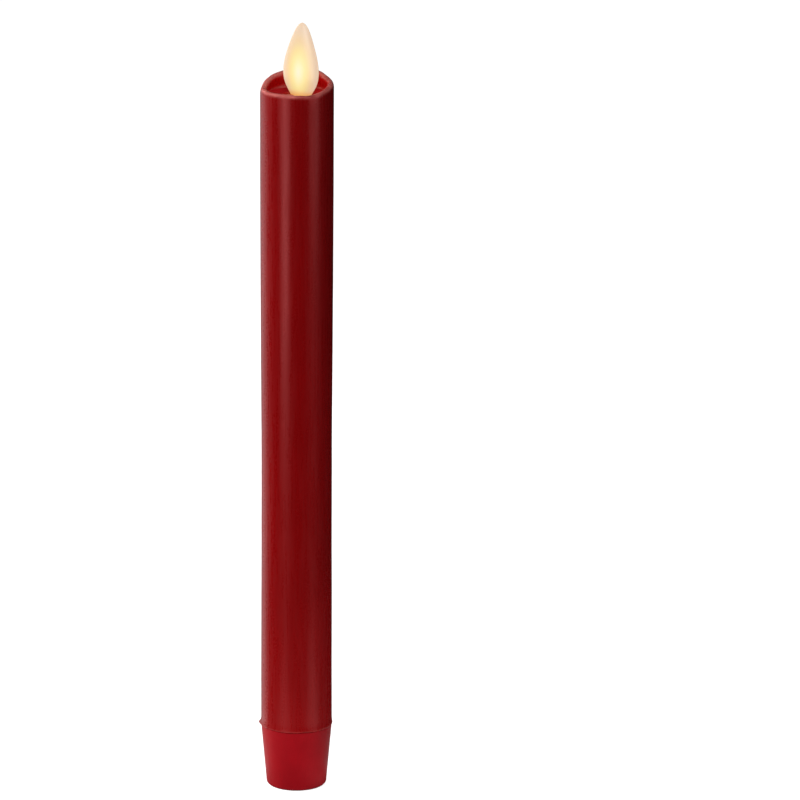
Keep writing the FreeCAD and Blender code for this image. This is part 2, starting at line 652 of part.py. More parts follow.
def chassis_screws():
    shaft_r, head_r, head_height = 0.75, 1.25, 0.9
    return Part.makeCompound([
        pan_screw(V(x, SHELL_SCREW_TIP_Y, z), V(x, SHELL_SCREW_SEAT_Y, z), shaft_r, head_r, head_height)
        for x, z in SHELL_SCREWS
    ])


def control_board():
    half, hole_r = BOARD_WIDTH / 2, 0.9
    board = block(-half, half, BOARD_FACE_Y, BOARD_FACE_Y + BOARD_T, BOARD_Z[0], BOARD_Z[1])
    holes = [rod_y(hole_r, 0, z, -BOARD_T, BOARD_T) for z in BOARD_SCREW_Z]
    return board.cut(holes)


def board_screws():
    shaft_r, head_r, head_height = 0.75, 1.4, 0.9
    return Part.makeCompound([
        pan_screw(V(0, BOARD_SCREW_TIP_Y, z), V(0, BOARD_FACE_Y, z), shaft_r, head_r, head_height)
        for z in BOARD_SCREW_Z
    ])


def controller_chip():
    """A 14-lead chip on the front of the board."""
    face, standoff, height = BOARD_FACE_Y, 0.1, 1.5
    middle_z, length, width = 161.0, 4.3, 1.95
    back = face - standoff
    body = block(-width, width, back - height, back, middle_z - length, middle_z + length)
    pitch, per_side, leg_half, leg_t, leg_reach = 1.27, 7, 0.2, 0.25, 1.0
    legs = []
    for i in range(per_side):
        z = middle_z + (i - (per_side - 1) / 2) * pitch
        for side in (-1, 1):
            ends = sorted((side * (width - 0.2), side * (width + leg_reach)))
            legs.append(block(ends[0], ends[1], face - leg_t, face, z - leg_half, z + leg_half))
    return join([body] + legs)


def electrolytic_capacitor():
    """A can lying on the board, with its leads bent down to it."""
    can_r, z0, z1, lead_r, lead_drop = 2.5, 148.0, 155.0, 0.25, 1.8
    y = BOARD_FACE_Y - can_r - 0.05
    can = cylinder(can_r, z0, z1, 0, y)
    can = can.makeFillet(0.3, ring_edges(can, can_r, z0) + ring_edges(can, can_r, z1))
    leads = [
        bent_wire([V(x, y, z0 + 0.2), V(x, y, z0 - lead_drop), V(x, BOARD_FACE_Y, z0 - lead_drop)], lead_r)
        for x in (-1.0, 1.0)
    ]
    return join([can] + leads)


# Middles of the small chips on the board, as (x, z), then of the two driver transistors.
CHIP_PLACES = [
    (-4.6, 148.5), (-4.6, 151.5), (-4.6, 154.5), (4.6, 148.5), (4.6, 151.5), (4.6, 154.5),
    (-2.6, 138.0), (2.6, 138.0), (-4.8, 169.0), (4.8, 169.0),
]
DRIVER_PLACES = [(-3.2, 175.0), (3.2, 175.0)]
CHIP_SIZE = (0.65, 1.0, 0.6)     # half width, half length and height
DRIVER_SIZE = (1.5, 0.8, 1.1)


def surface_parts():
    """Resistors, small capacitors and the two coil-driver transistors on the front of the board."""
    solids = []
    for places, (width, length, height) in ((CHIP_PLACES, CHIP_SIZE), (DRIVER_PLACES, DRIVER_SIZE)):
        for x, z in places:
            face = BOARD_FACE_Y
            solids.append(block(x - width, x + width, face - height, face, z - length, z + length))
    return Part.makeCompound(solids)


def led_direction():
    tilt = math.radians(LED_TILT)
    return V(0, math.sin(tilt), math.cos(tilt))


LED_FLANGE_R = 1.9
LED_FLANGE_T = 0.8


def led():
    way = led_direction()
    flange = rod(LED_FLANGE_R, LED_FOOT, LED_FOOT + way * LED_FLANGE_T)
    dome_centre = LED_FOOT + way * (LED_LENGTH - LED_R)
    barrel = rod(LED_R, LED_FOOT, dome_centre)
    dome = Part.makeSphere(LED_R, dome_centre)
    return join([flange, barrel, dome])


def led_holder():
    """The angled seat that aims the LED at the flame."""
    way, height, half_width, back_y = led_direction(), 4.5, 4.0, -0.9
    top = LED_SEAT_Z + height
    seat = cylinder(CHASSIS_R_IN - PRESS_GAP, LED_SEAT_Z, top)
    seat = seat.common(block(-half_width, half_width, -FAR, back_y, LED_SEAT_Z, top))
    bore = rod(LED_R + 0.06, LED_FOOT - way * LED_LENGTH, LED_FOOT + way * 2 * LED_LENGTH)
    flange_room = rod(LED_FLANGE_R + 0.1, LED_FOOT - way * LED_LENGTH, LED_FOOT + way * (LED_FLANGE_T + 0.05))
    return seat.cut([bore, flange_room])


def led_leads():
    way, lead_r, half_pitch, solder_z = led_direction(), 0.22, 0.6, 180.0
    leads = []
    for x in (-half_pitch, half_pitch):
        start = LED_FOOT + V(x, 0, 0)
        leads.append(bent_wire([
            start,
            start - way * 1.4,
            V(x, -6.3, 208.0),
            V(x, -6.3, 185.0),
            V(x, -4.2, solder_z),
            V(x, BOARD_FACE_Y, solder_z),
        ], lead_r))
    return Part.makeCompound(leads)


def ir_receiver():
    """An upright infrared receiver whose lens looks up through the bowl floor."""
    z0, z1 = IR_BODY_Z
    half_width, half_depth = 2.3, 1.2
    body = block(-half_width, half_width, IR_Y - half_depth, IR_Y + half_depth, z0, z1)
    lens_r, lens_top = 1.1, FLOOR_Z - 0.6
    lens = cylinder(lens_r, z1 - OVERLAP, lens_top - lens_r, 0, IR_LENS_Y)
    dome = Part.makeSphere(lens_r, V(0, IR_LENS_Y, lens_top - lens_r))
    return join([body, lens, dome])


def ir_leads():
    lead_r, pitch, run_y, solder_z, foot_z = 0.2, 1.27, 7.0, 179.6, IR_BODY_Z[0]
    leads = []
    for x in (-pitch, 0.0, pitch):
        leads.append(bent_wire([
            V(x, IR_Y, foot_z),
            V(x, IR_Y, foot_z - 2.0),
            V(x, run_y, foot_z - 5.5),
            V(x, run_y, 185.0),
            V(x, 4.2, solder_z),
            V(x, BOARD_T / 2, solder_z),
        ], lead_r))
    return Part.makeCompound(leads)


HUB_R = 2.2
BOBBIN_FLANGE = 0.8


def coil_bobbin():
    top, hole_r = COIL_Z + COIL_HEIGHT, 1.15
    parts = [
        cylinder(COIL_R, COIL_Z, COIL_Z + BOBBIN_FLANGE, 0, FLAME_Y),
        cylinder(HUB_R, COIL_Z, top, 0, FLAME_Y),
        cylinder(COIL_R, top - BOBBIN_FLANGE, top, 0, FLAME_Y),
    ]
    return join(parts).cut(cylinder(hole_r, COIL_Z - BEYOND, top + BEYOND, 0, FLAME_Y))


def coil_winding():
    """The packed turns of enamelled wire, as one ribbed ring."""
    inner, outer, groove, ribs = HUB_R + 0.02, COIL_R - 0.45, 0.12, 14
    z0, z1 = COIL_Z + BOBBIN_FLANGE + 0.02, COIL_Z + COIL_HEIGHT - BOBBIN_FLANGE - 0.02
    pitch = (z1 - z0) / ribs
    outline = [(inner, z0)]
    for i in range(ribs):
        outline += [(outer - groove, z0 + i * pitch), (outer, z0 + (i + 0.5) * pitch)]
    outline += [(outer - groove, z1), (inner, z1)]
    ring = turned(outline)
    ring.translate(V(0, FLAME_Y, 0))
    return ring


def coil_leads():
    lead_r, tap_y, tap_z, solder_z = 0.15, -2.5, COIL_Z + 2.5, 178.2
    return Part.makeCompound([
        bent_wire([
            V(x, tap_y, tap_z),
            V(x, COIL_LEAD_Y, tap_z),
            V(x, COIL_LEAD_Y, 182.0),
            V(x, -3.0, solder_z),
            V(x, BOARD_FACE_Y, solder_z),
        ], lead_r) for x in COIL_LEAD_X
    ])


BATTERY_LEAD_R = 0.5
BATTERY_LEAD_X = 4.4             # where both battery leads meet the board
BATTERY_LEAD_Z = BATTERY_TUBE_TOP_Z + 16.5


def battery_lead_positive():
    top, x, start_y = BATTERY_TUBE_TOP_Z, BATTERY_LEAD_X, POSITIVE_TAB_Y[1] + BATTERY_LEAD_R + 0.05
    return bent_wire([
        V(0, start_y, top - 3.0),
        V(0, start_y, top + 3.5),
        V(2.6, 3.6, top + 9.0),
        V(x, 3.4, top + 13.5),
        V(x, 2.8, BATTERY_LEAD_Z),
        V(x, BOARD_T / 2, BATTERY_LEAD_Z),
    ], BATTERY_LEAD_R)


def battery_lead_negative():
    top, x, start_x = BATTERY_TUBE_TOP_Z, BATTERY_LEAD_X, STRIP_X[0] - BATTERY_LEAD_R
    return bent_wire([
        V(start_x, 0, top + 1.0),
        V(start_x - 0.4, -0.2, top + 6.0),
        V(5.6, -2.4, top + 10.5),
        V(x, -3.4, top + 13.5),
        V(x, -2.8, BATTERY_LEAD_Z),
        V(x, BOARD_FACE_Y, BATTERY_LEAD_Z),
    ], BATTERY_LEAD_R)


# ---------------------------------------------------------------- flame
def flame_section(z, half_width, half_thickness, lean_x, lean_y):
    ellipse = Part.Ellipse(V(lean_x, FLAME_Y + lean_y, z), half_width, half_thickness)
    return Part.Wire(ellipse.toShape())


TAIL = (2.2, 0.8, 0.6)           # half width, half thickness and corner rounding of the flame's tail
MAGNET_POCKET_WALL = 0.6


def flame_paddle():
    """The translucent flame, its tail, the pivot hole and the socket for the magnet."""
    blade = Part.makeLoft([flame_section(*s) for s in FLAME_SECTIONS], True, False)
    magnet_top = MAGNET_Z + MAGNET_HEIGHT
    socket_foot, socket_top = MAGNET_Z + 1.4, magnet_top + 1.0
    half, thickness, corner = TAIL
    tail_foot, tail_top = socket_top - OVERLAP, FLAME_SECTIONS[0][0] + OVERLAP
    tail = rounded_block(-half, half, FLAME_Y - thickness, FLAME_Y + thickness, tail_foot, tail_top, corner)
    socket = cylinder(MAGNET_R + MAGNET_POCKET_WALL, socket_foot, socket_top, 0, FLAME_Y)
    pocket = cylinder(MAGNET_R + 0.03, MAGNET_Z - BEYOND, magnet_top, 0, FLAME_Y)
    pivot_hole = rod_y(WIRE_R + 0.07, 0, PIVOT_Z, FLAME_Y - TAIL[1] - BEYOND, FLAME_Y + TAIL[1] + BEYOND)
    return join([blade, tail, socket]).cut([pocket, pivot_hole])


def flame_magnet():
    magnet = cylinder(MAGNET_R, MAGNET_Z, MAGNET_Z + MAGNET_HEIGHT - 0.02, 0, FLAME_Y)
    return magnet.makeFillet(0.25, ring_edges(magnet, MAGNET_R, MAGNET_Z))


def pivot_wire():
    return rod_y(WIRE_R, 0, PIVOT_Z, WIRE_Y[0], WIRE_Y[1])


def build():
    os.makedirs("parts", exist_ok=True)
    makers = [
        base_cup, threaded_neck, switch_board, switch_board_screws, slide_switch, switch_lever, switch_knob,
        spring_plate, battery_spring, base_contact,
        wax_sleeve, core_tube, threaded_collar, battery_tube, positive_contact, return_strip, bowl_insert,
        chassis_front, chassis_back, chassis_screws, control_board, board_screws, controller_chip,
        electrolytic_capacitor, surface_parts, led, led_holder, led_leads, ir_receiver, ir_leads,
        coil_bobbin, coil_winding, coil_leads, battery_lead_positive, battery_lead_negative,
        flame_paddle, flame_magnet, pivot_wire,
    ]
    for maker in makers:
        save(maker.__name__, maker())
    for name, index in (("cell_lower", 0), ("cell_upper", 1)):
        save(name, cell(CELL_FOOT_Z + index * CELL_LENGTH))


build()
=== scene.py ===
"""Looks of a flameless taper candle: dipped red wax, a frosted glowing flame and a matte twist-off base.

Every CAD node keeps its shape and gets a procedural material, apart from the wax sleeve. A finer coat, with
the slight unevenness of dipped wax, replaces it, and differs from it by about a millimetre at most. All
lengths are in metres.
"""

import math

import bpy
from mathutils import Matrix, Vector, noise
from mathutils.bvhtree import BVHTree


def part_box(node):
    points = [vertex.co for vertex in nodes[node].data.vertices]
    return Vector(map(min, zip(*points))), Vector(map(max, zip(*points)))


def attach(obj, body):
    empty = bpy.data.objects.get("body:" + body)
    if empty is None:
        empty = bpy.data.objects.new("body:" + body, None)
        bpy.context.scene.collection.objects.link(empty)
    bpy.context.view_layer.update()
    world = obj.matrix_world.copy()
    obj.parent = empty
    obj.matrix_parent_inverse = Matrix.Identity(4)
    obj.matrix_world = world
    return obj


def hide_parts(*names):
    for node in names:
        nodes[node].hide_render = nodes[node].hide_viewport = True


MM = 0.001

# The camera, as seen from the candle, and the point that it looks at beside the candle.
CAMERA_AZIMUTH = 30.0
CAMERA_ELEVATION = 14.66
CAMERA_DISTANCE = 1.6
CAMERA_LENS_MM = 231.8
CAMERA_SENSOR_MM = 36.0
CAMERA_ROLL = 0.35
CAMERA_CLIP = 0.01, 50.0
AIM_ASIDE = 32.06 * MM
AIM_HEIGHT = 125.3 * MM

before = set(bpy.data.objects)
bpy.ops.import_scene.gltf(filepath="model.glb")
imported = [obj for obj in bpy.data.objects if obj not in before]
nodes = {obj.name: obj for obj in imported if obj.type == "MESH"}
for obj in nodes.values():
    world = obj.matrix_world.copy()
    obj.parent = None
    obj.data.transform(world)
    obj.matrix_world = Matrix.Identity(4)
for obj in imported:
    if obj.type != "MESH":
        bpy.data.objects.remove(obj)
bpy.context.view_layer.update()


# ---------------------------------------------------------------- helpers
class Paint:
    """A material on one Principled shader, and short ways to make the nodes that feed it."""

    def __init__(self, name, colour, roughness, **sockets):
        self.material = bpy.data.materials.new(name)
        self.material.use_nodes = True
        self.tree = self.material.node_tree
        self.shader = self.tree.nodes["Principled BSDF"]
        self.shader.inputs["Base Color"].default_value = (*colour, 1)
        self.shader.inputs["Roughness"].default_value = roughness
        for socket, value in sockets.items():
            self.shader.inputs[socket.replace("_", " ")].default_value = value
        self.place = self.node("ShaderNodeTexCoord").outputs["Object"]

    def node(self, kind, **properties):
        made = self.tree.nodes.new(kind)
        for name, value in properties.items():
            setattr(made, name, value)
        return made

    def feed(self, value, socket):
        """Links an output, or sets a plain value."""
        if isinstance(value, bpy.types.NodeSocket):
            self.tree.links.new(value, socket)
        else:
            socket.default_value = value

    def set(self, socket, value):
        self.feed(value, self.shader.inputs[socket])

    def stretched(self, scale):
        mapping = self.node("ShaderNodeMapping")
        self.feed(self.place, mapping.inputs["Vector"])
        mapping.inputs["Scale"].default_value = scale
        return mapping.outputs[0]

    def noise(self, scale, detail=3.0, stretch=None, distortion=0.0):
        made = self.node("ShaderNodeTexNoise")
        self.feed(self.stretched(stretch) if stretch else self.place, made.inputs["Vector"])
        made.inputs["Scale"].default_value = scale
        made.inputs["Detail"].default_value = detail
        made.inputs["Distortion"].default_value = distortion
        return made.outputs["Fac"]

    def between(self, value, low, high, to_low=0.0, to_high=1.0):
        made = self.node("ShaderNodeMapRange")
        self.feed(value, made.inputs["Value"])
        made.inputs["From Min"].default_value = low
        made.inputs["From Max"].default_value = high
        made.inputs["To Min"].default_value = to_low
        made.inputs["To Max"].default_value = to_high
        return made.outputs["Result"]

    def smooth(self, value, low, high, to_low=0.0, to_high=1.0):
        made = self.between(value, low, high, to_low, to_high)
        made.node.interpolation_type = "SMOOTHSTEP"
        return made

    def maths(self, operation, first, second=0.0):
        made = self.node("ShaderNodeMath", operation=operation)
        self.feed(first, made.inputs[0])
        self.feed(second, made.inputs[1])
        return made.outputs[0]

    def product(self, first, *others):
        for value in others:
            first = self.maths("MULTIPLY", first, value)
        return first

    def length(self, first, second):
        """How long a line is that goes that far along two directions at right angles."""
        squares = self.maths("ADD", self.maths("POWER", first, 2.0), self.maths("POWER", second, 2.0))
        return self.maths("SQRT", squares)

    def axis(self, name):
        made = self.node("ShaderNodeSeparateXYZ")
        self.feed(self.place, made.inputs[0])
        return made.outputs[name]

    def from_axis(self):
        """Distance from the candle's own axis."""
        return self.length(self.axis("X"), self.axis("Y"))

    def facing(self, name):
        """How far the surface faces along an axis, from -1 to 1."""
        made = self.node("ShaderNodeSeparateXYZ")
        self.feed(self.node("ShaderNodeTexCoord").outputs["Normal"], made.inputs[0])
        return made.outputs[name]

    def mix(self, share, first, second):
        made = self.node("ShaderNodeMix", data_type="RGBA")
        self.feed(share, made.inputs["Factor"])
        self.feed((*first, 1) if isinstance(first, tuple) else first, made.inputs["A"])
        self.feed((*second, 1) if isinstance(second, tuple) else second, made.inputs["B"])
        return made.outputs["Result"]

    def ramp(self, share, stops):
        made = self.node("ShaderNodeValToRGB")
        self.feed(share, made.inputs[0])
        elements = made.color_ramp.elements
        while len(elements) < len(stops):
            elements.new(0.5)
        for element, (position, colour) in zip(elements, stops):
            element.position = position
            element.color = (*colour, 1)
        return made.outputs["Color"]

    def bump(self, height, strength, distance):
        """Adds relief to the surface, and gives back the finished paint."""
        made = self.node("ShaderNodeBump")
        made.inputs["Strength"].default_value = strength
        made.inputs["Distance"].default_value = distance
        self.feed(height, made.inputs["Height"])
        self.set("Normal", made.outputs["Normal"])
        return self


def place(name, data):
    """A new object in the scene."""
    made = bpy.data.objects.new(name, data)
    bpy.context.scene.collection.objects.link(made)
    return made


def dress(names, paint):
    """Gives CAD nodes one material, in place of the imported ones."""
    for name in names:
        slots = nodes[name].data.materials
        slots.clear()
        slots.append(paint.material)


# ---------------------------------------------------------------- wax material
WAX_DEEP = (0.178, 0.0003, 0.0008)
WAX_CLOUDED = (0.205, 0.0008, 0.0015)
WAX_LIT = (0.40, 0.0006, 0.0014)    # inside the bowl, where the flame lights it
# pale pink of the rim and lower edge: wear together with a painted highlight
WAX_WEAR_AND_HIGHLIGHT = (0.60, 0.160, 0.140)
RIM_REACH = 9 * MM                  # the wavy rim lies within this height of the sleeve's top
# share of pale on the lower edge: a painted highlight where the edge catches light
HEM_HIGHLIGHT = 0.14
FRONT_RIGHT_PALE_SHARE = 0.45                  # what is left of the pale crest, wear and painted highlight, at the front right of the rim
LEFT_RIM_HIGHLIGHT = 0.95                  # at the left of the rim, which is painted pale all over as a painted highlight


def wax_wear_and_highlight(paint, from_axis, bowl):
    """How pale the wax is painted, from 0 to 1: wear and a painted highlight in patches on the upward-facing
    crest of its rim, a painted highlight all over the rim's left, and a faint painted highlight on its lower
    edge.
    """
    low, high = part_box("wax_sleeve")
    across, depth, height = paint.axis("X"), paint.axis("Y"), paint.axis("Z")
    near_rim = paint.smooth(height, high.z - RIM_REACH, high.z - RIM_REACH + 1.0 * MM)
    front_right = paint.product(paint.smooth(across, 3.5 * MM, 6.5 * MM),
                           paint.smooth(depth, -6.0 * MM, -3.5 * MM, 1.0, 0.0))
    # the upward-facing crest is painted pale: a painted highlight from above, with wear
    crest = paint.product(near_rim, paint.smooth(paint.facing("Z"), 0.05, 0.55),
                          paint.between(front_right, 0.0, 1.0, 1.0, FRONT_RIGHT_PALE_SHARE))
    # the left of the rim painted pale all over: a painted highlight
    left_rim_highlight = paint.product(paint.smooth(across, -9.0 * MM, -7.5 * MM, LEFT_RIM_HIGHLIGHT, 0.0),
                           paint.smooth(from_axis, bowl + 0.25 * MM, bowl + 0.5 * MM), crest)
    # a thin pale line on the lower edge: painted highlight
    hem = paint.smooth(height, low.z + 0.1 * MM, low.z + 0.6 * MM, HEM_HIGHLIGHT, 0.0)
    patches = paint.between(paint.noise(260, 3), 0.3, 0.7, 0.45, 1.0)
    return paint.maths("MAXIMUM", paint.product(paint.maths("MAXIMUM", crest, hem), patches), left_rim_highlight)


def wax_paint():
    """Dark red dipped wax: a satin coat with faint clouds and scratches, lighter inside the bowl where the
    flame lights it, and pale on its rim and lower edge, partly wear and partly painted highlight.
    """
    paint = Paint("dipped_wax", WAX_DEEP, 0.3, Subsurface_Weight=0.12, Subsurface_Scale=1.2 * MM)
    paint.shader.inputs["Subsurface Radius"].default_value = (1.0, 0.12, 0.08)
    paint.shader.inputs["Specular Tint"].default_value = (1.0, 0.31, 0.31, 1)
    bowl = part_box("bowl_insert")[1].x
    from_axis = paint.from_axis()
    clouds = paint.noise(60, 4, stretch=(1, 1, 0.35))
    body = paint.mix(paint.smooth(clouds, 0.35, 0.75), WAX_DEEP, WAX_CLOUDED)
    body = paint.mix(paint.smooth(from_axis, bowl + 0.2 * MM, bowl + 0.8 * MM, 1.0, 0.0), body, WAX_LIT)
    # pale rim and lower edge: wear and painted highlight
    paint.set("Base Color", paint.mix(wax_wear_and_highlight(paint, from_axis, bowl), body, WAX_WEAR_AND_HIGHLIGHT))
    scratches = paint.noise(900, 2, stretch=(1, 1, 0.06), distortion=0.4)
    dust = paint.noise(2600, 2)
    dull = paint.maths("ADD", paint.between(scratches, 0.45, 0.8, 0.0, 0.10),
                       paint.between(dust, 0.5, 0.9, 0.0, 0.08))
    paint.set("Roughness", paint.maths("ADD", dull, 0.27))
    relief = paint.maths("ADD", paint.product(paint.noise(220, 3), 0.7), paint.product(dust, 0.12))
    return paint.bump(relief, 0.35, 0.06 * MM)


# ---------------------------------------------------------------- other materials
def moulded(name, colour, roughness=0.5, grain=0.5, **sockets):
    """Moulded plastic with a fine spark-eroded grain and faint uneven colour."""
    paint = Paint(name, colour, roughness, **sockets)
    darker = tuple(c * 0.82 for c in colour)
    paint.set("Base Color", paint.mix(paint.smooth(paint.noise(70, 3), 0.3, 0.75), colour, darker))
    texture = paint.noise(5200, 2)
    paint.set("Roughness", paint.between(texture, 0.3, 0.7, roughness - 0.06, roughness + 0.06))
    return paint.bump(texture, 0.25 * grain, 0.03 * MM)


def plated(name, colour, roughness=0.25, brushed=(1, 1, 1)):
    """Plated or drawn metal with fine marks, which run one way where it is brushed."""
    paint = Paint(name, colour, roughness, Metallic=1.0)
    marks = paint.noise(1500, 3, stretch=brushed)
    tarnish = tuple(c * 0.75 for c in colour)
    paint.set("Base Color", paint.mix(paint.smooth(paint.noise(180, 3), 0.45, 0.8), colour, tarnish))
    paint.set("Roughness", paint.between(marks, 0.25, 0.75, roughness - 0.07, roughness + 0.12))
    return paint.bump(marks, 0.12, 0.02 * MM)


FLAME_CREAM, FLAME_PEACH = (0.24, 0.19, 0.14), (0.26, 0.19, 0.13)
GLOW_ASIDE = 0.1 * MM               # the brightest spot, from the candle's axis
GLOW_HEIGHT = 6.2 * MM              # and from the top of the bowl insert
GLOW_HALF_WIDTH = 5.6 * MM
GLOW_DOWN, GLOW_UP = 12.0 * MM, 13.0 * MM
GLOW_COLOURS = [                    # from the brightest spot out to the flame's edge
    (0.0, (0.80, 0.74, 0.55)),
    (0.18, (0.80, 0.73, 0.42)),
    (0.38, (0.77, 0.66, 0.26)),
    (0.55, (0.72, 0.57, 0.22)),
    (0.75, (0.66, 0.47, 0.25)),
    (1.0, (0.61, 0.45, 0.32)),
]
GLOW_FOOT = (0.70, 0.27, 0.03)      # where the flame goes into its slot


def flame_paint():
    """Frosted plastic that glows: nearly white low in the middle, yellow round that, peach at its edges."""
    paint = Paint("frosted_flame", FLAME_CREAM, 0.32, Subsurface_Weight=0.2, Subsurface_Scale=0.8 * MM)
    paint.set("Base Color", paint.mix(paint.smooth(paint.noise(160, 2), 0.35, 0.7), FLAME_CREAM, FLAME_PEACH))
    insert_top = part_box("bowl_insert")[1].z
    across = paint.maths("DIVIDE", paint.maths("SUBTRACT", paint.axis("X"), GLOW_ASIDE), GLOW_HALF_WIDTH)
    height = paint.maths("SUBTRACT", paint.axis("Z"), insert_top + GLOW_HEIGHT)
    half_height = paint.between(height, -2.0 * MM, 2.0 * MM, GLOW_DOWN, GLOW_UP)
    reach = paint.length(across, paint.maths("DIVIDE", height, half_height))
    foot = paint.smooth(paint.axis("Z"), insert_top - 1.6 * MM, insert_top + 1.2 * MM, 1.0, 0.0)
    paint.set("Emission Color", paint.mix(foot, paint.ramp(reach, GLOW_COLOURS), GLOW_FOOT))
    paint.set("Emission Strength", 1.0)
    return paint.bump(paint.noise(2400, 3), 0.2, 0.03 * MM)


def glowing_lens():
    """Clear epoxy that glows orange at its foot and warm white at its tip."""
    paint = Paint("led_epoxy", (0.95, 0.86, 0.62), 0.12, Coat_Weight=0.5)
    low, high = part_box("led")
    height = paint.between(paint.axis("Z"), low.z, high.z)
    paint.set("Emission Color", paint.ramp(height, [(0.0, (0.9, 0.42, 0.08)), (1.0, (1.0, 0.78, 0.40))]))
    paint.set("Emission Strength", 6.0)
    return paint.bump(paint.noise(900, 2), 0.05, 0.02 * MM)


def board_paint():
    """Green solder mask over glass weave, with pale tracks under it."""
    paint = Paint("circuit_board", (0.01, 0.12, 0.05), 0.35, Coat_Weight=0.4)
    bars = paint.node("ShaderNodeTexBrick")
    paint.feed(paint.stretched((900, 900, 420)), bars.inputs["Vector"])
    bars.inputs["Scale"].default_value = 1.0
    bars.inputs["Mortar Size"].default_value = 0.05
    tracks = paint.mix(bars.outputs["Fac"], (0.008, 0.10, 0.04), (0.02, 0.22, 0.09))
    cloudy = paint.smooth(paint.noise(400, 2), 0.4, 0.7)
    paint.set("Base Color", paint.mix(cloudy, tracks, (0.01, 0.13, 0.05)))
    return paint.bump(paint.noise(3000, 2), 0.1, 0.02 * MM)


def wound_copper():
    """Enamelled copper with the lie of its turns."""
    paint = Paint("enamelled_copper", (0.62, 0.22, 0.09), 0.28, Metallic=1.0, Coat_Weight=0.6)
    turns = paint.node("ShaderNodeTexWave", wave_type="BANDS", bands_direction="Z")
    paint.feed(paint.place, turns.inputs["Vector"])
    turns.inputs["Scale"].default_value = 700
    turns.inputs["Distortion"].default_value = 0.6
    paint.set("Base Color", paint.mix(turns.outputs["Fac"], (0.38, 0.11, 0.04), (0.66, 0.25, 0.10)))
    return paint.bump(turns.outputs["Fac"], 0.5, 0.05 * MM)


CELL_BAND = 15 * MM                 # height of the pale band, from the top of the terminal
CELL_WRAP = 0.5 * MM                # the wrap covers the outermost part of the radius


def cell_paint(name):
    """A plain shrink-wrapped cell: steel ends, a dark wrap and a pale band below the top."""
    paint = Paint("wrap_" + name, (0.05, 0.06, 0.08), 0.32, Coat_Weight=0.5)
    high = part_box(name)[1]
    band = paint.maths("GREATER_THAN", paint.axis("Z"), high.z - CELL_BAND)
    side = paint.maths("GREATER_THAN", paint.from_axis(), high.x - CELL_WRAP)
    wrap = paint.mix(band, (0.03, 0.05, 0.09), (0.45, 0.46, 0.48))
    scuffs = paint.smooth(paint.noise(300, 2, stretch=(1, 1, 0.2)), 0.4, 0.8)
    wrap = paint.mix(scuffs, wrap, (0.04, 0.05, 0.07))
    paint.set("Base Color", paint.mix(side, (0.62, 0.62, 0.60), wrap))
    paint.set("Metallic", paint.maths("SUBTRACT", 1.0, side))
    return paint.bump(paint.noise(1200, 2, stretch=(1, 1, 0.2)), 0.1, 0.03 * MM)


def base_paint():
    """Matte red plastic with a faint bloom."""
    paint = moulded("matte_red_base", (0.240, 0.0004, 0.0034), 0.55, 1.0,
                    Specular_IOR_Level=0.15, Sheen_Weight=0.12, Sheen_Roughness=0.15)
    paint.shader.inputs["Specular Tint"].default_value = (1.0, 0.3, 0.35, 1)
    return paint


def dress_nodes():
    dress(["base_cup"], base_paint())
    dress(["threaded_neck"], moulded("red_neck", (0.33, 0.004, 0.008), roughness=0.42))
    # the bowl floor's red is paler than the wax, partly red plastic and partly painted light from the flame
    dress(["bowl_insert"], moulded("flame_lit_bowl_floor", (0.50, 0.007, 0.012), roughness=0.38))
    dress(["core_tube", "threaded_collar", "battery_tube"], moulded("natural_tube", (0.72, 0.69, 0.62), 0.45))
    dress(["chassis_front", "chassis_back", "led_holder", "coil_bobbin"],
          moulded("black_chassis", (0.02, 0.02, 0.022)))
    dress(["switch_knob", "switch_lever"], moulded("black_knob", (0.014, 0.014, 0.015), 0.4))
    dress(["controller_chip", "surface_parts"], moulded("moulded_chips", (0.018, 0.018, 0.02), 0.55))
    dress(["ir_receiver"], moulded("dark_lens", (0.02, 0.006, 0.008), 0.12, 0.1, Coat_Weight=0.6))
    dress(["battery_lead_positive"], moulded("red_insulation", (0.45, 0.01, 0.01), 0.4))
    dress(["battery_lead_negative"], moulded("black_insulation", (0.012, 0.012, 0.012), 0.4))
    dress(["control_board", "switch_board"], board_paint())
    dress(["flame_paddle"], flame_paint())
    dress(["led"], glowing_lens())
    dress(["coil_winding", "coil_leads"], wound_copper())
    dress(["electrolytic_capacitor"], plated("capacitor_can", (0.55, 0.57, 0.62), 0.3))
    dress(["flame_magnet", "positive_contact", "return_strip", "base_contact", "spring_plate"],
          plated("nickel_plate", (0.66, 0.62, 0.55), 0.22))
    dress(["battery_spring", "pivot_wire", "chassis_screws", "board_screws", "switch_board_screws",
           "slide_switch", "led_leads", "ir_leads"],
          plated("bright_steel", (0.60, 0.60, 0.61), 0.24, brushed=(1, 1, 0.1)))
    for name in ("cell_lower", "cell_upper"):
        dress([name], cell_paint(name))


# ---------------------------------------------------------------- wax coat
COAT_ANGLES = 288
RING_STEP = 1.3 * MM
RING_CROWDING = 1.15              # above 1, the rings lie closer together towards the foot
FIT = 0.05 * MM                   # room round the bowl insert and the core tube
SKIN = 0.03 * MM                  # the least that the wall stays inside the CAD sleeve, above its foot
WAIST = 0.22 * MM                 # how much further it stays inside, most below the middle
TAPER = 0.18 * MM                 # and how much more, growing from the top to the foot
UNEVEN = 0.10 * MM                # depth of the swellings of the wall
UNEVEN_FINE = 0.25 * UNEVEN       # and of the finer ones on them
SWELL_ROUND = 2.2                 # more gives more swellings round the candle
SWELL_LENGTH = 26 * MM
SWELL_FINER = 3.1                 # how many times smaller the finer ones are
FLARE_HEIGHT = 2.0 * MM           # over this height the foot widens out to the CAD sleeve
RAGGED = 0.30 * MM                # how far the lower edge rises in places
EDGE_ROUND = 0.12 * MM            # height of the rounded lower edge
LIP_STEPS = 16
LIP_DROP = 1.8 * MM               # height of the rounded lip above its shoulder
